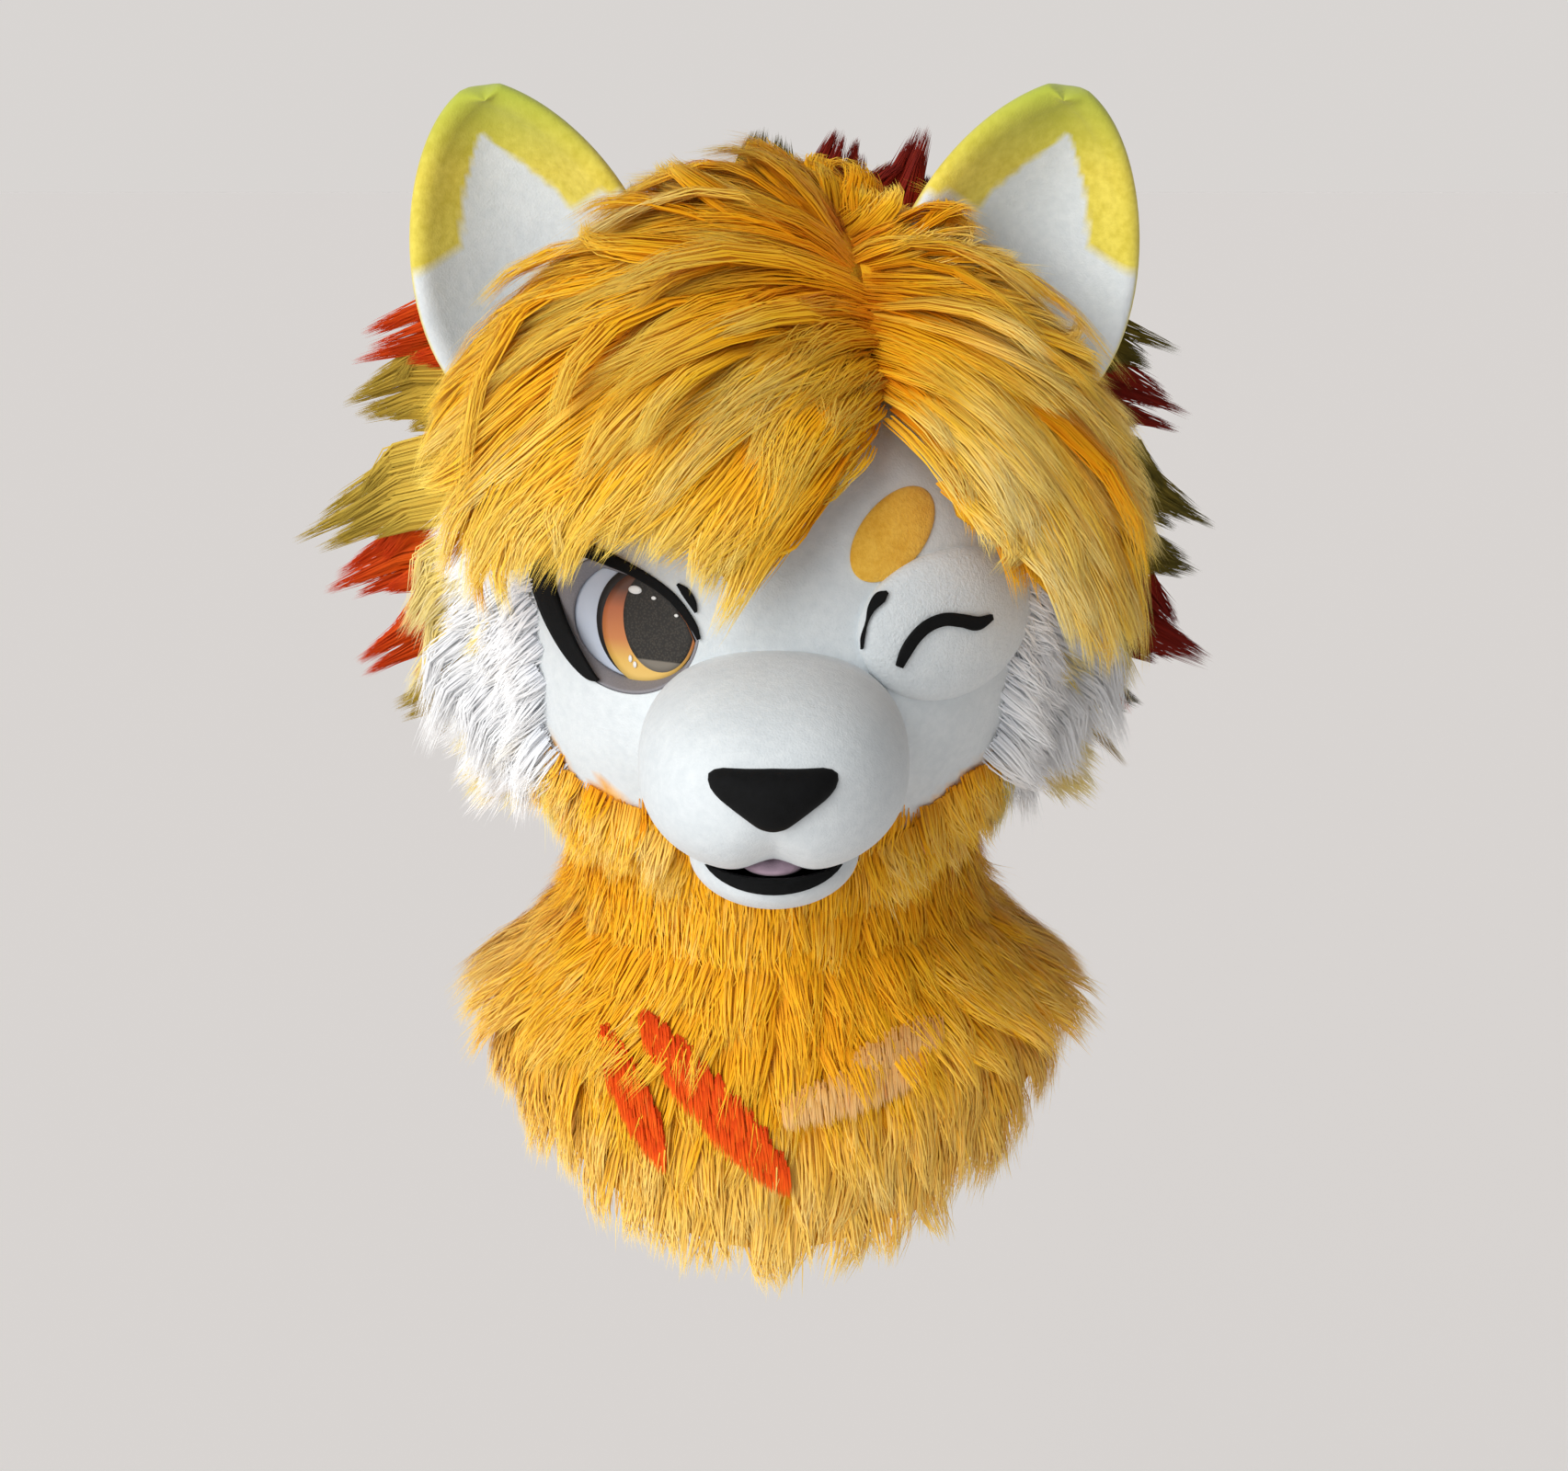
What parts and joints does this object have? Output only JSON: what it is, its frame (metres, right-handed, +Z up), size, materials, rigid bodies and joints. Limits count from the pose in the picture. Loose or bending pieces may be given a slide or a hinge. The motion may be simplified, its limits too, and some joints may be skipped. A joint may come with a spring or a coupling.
{
  "type": "fursuit head",
  "caption": "Padded animal costume head with muzzle, recessed eye, winking eyelid pad, cupped ears, deep fur hair and mane, and a fur neck bib.",
  "frame": {"origin": "where the wearer's crown touches the top of the hollow inside the head", "axes": "+Z up, the face looks along -Y, +X to the wearer's left"},
  "size_m": [0.5171, 0.5017, 0.6086],
  "materials": {
    "plush_white": "white short-pile plush over foam",
    "fur_yellow": "golden long-pile fur",
    "fur_crown": "golden orange long-pile fur",
    "ear_yellow": "yellow short-pile plush over foam",
    "felt_black": "black short-pile fabric",
    "eye_grey": "matt grey",
    "eye_white": "satin white",
    "iris_amber": "printed mesh",
    "pupil_brown": "printed mesh",
    "tongue_pink": "soft pink fleece"
  },
  "bodies": {
    "root": {"head_shell": "plush_white", "muzzle": "plush_white", "lower_jaw": "plush_white", "nose": "felt_black", "lower_lip": "felt_black", "tongue": "tongue_pink", "eye_well": "eye_grey", "eye_white": "eye_white", "eye_iris": "iris_amber", "eye_pupil": "pupil_brown", "eyeliner": "felt_black", "eye_corner_right": "felt_black", "eye_corner_left": "felt_black", "eyelid_pad": "plush_white", "eyelid_line": "felt_black", "brow_patch": "fur_yellow", "ear_right": "ear_yellow", "ear_left": "ear_yellow", "ear_panel_right": "plush_white", "ear_panel_left": "plush_white", "hair": "fur_crown", "mane": "fur_yellow", "cheek_fur_right": "plush_white", "cheek_fur_left": "plush_white", "neck_bib": "fur_yellow"}
  },
  "joints": []
}
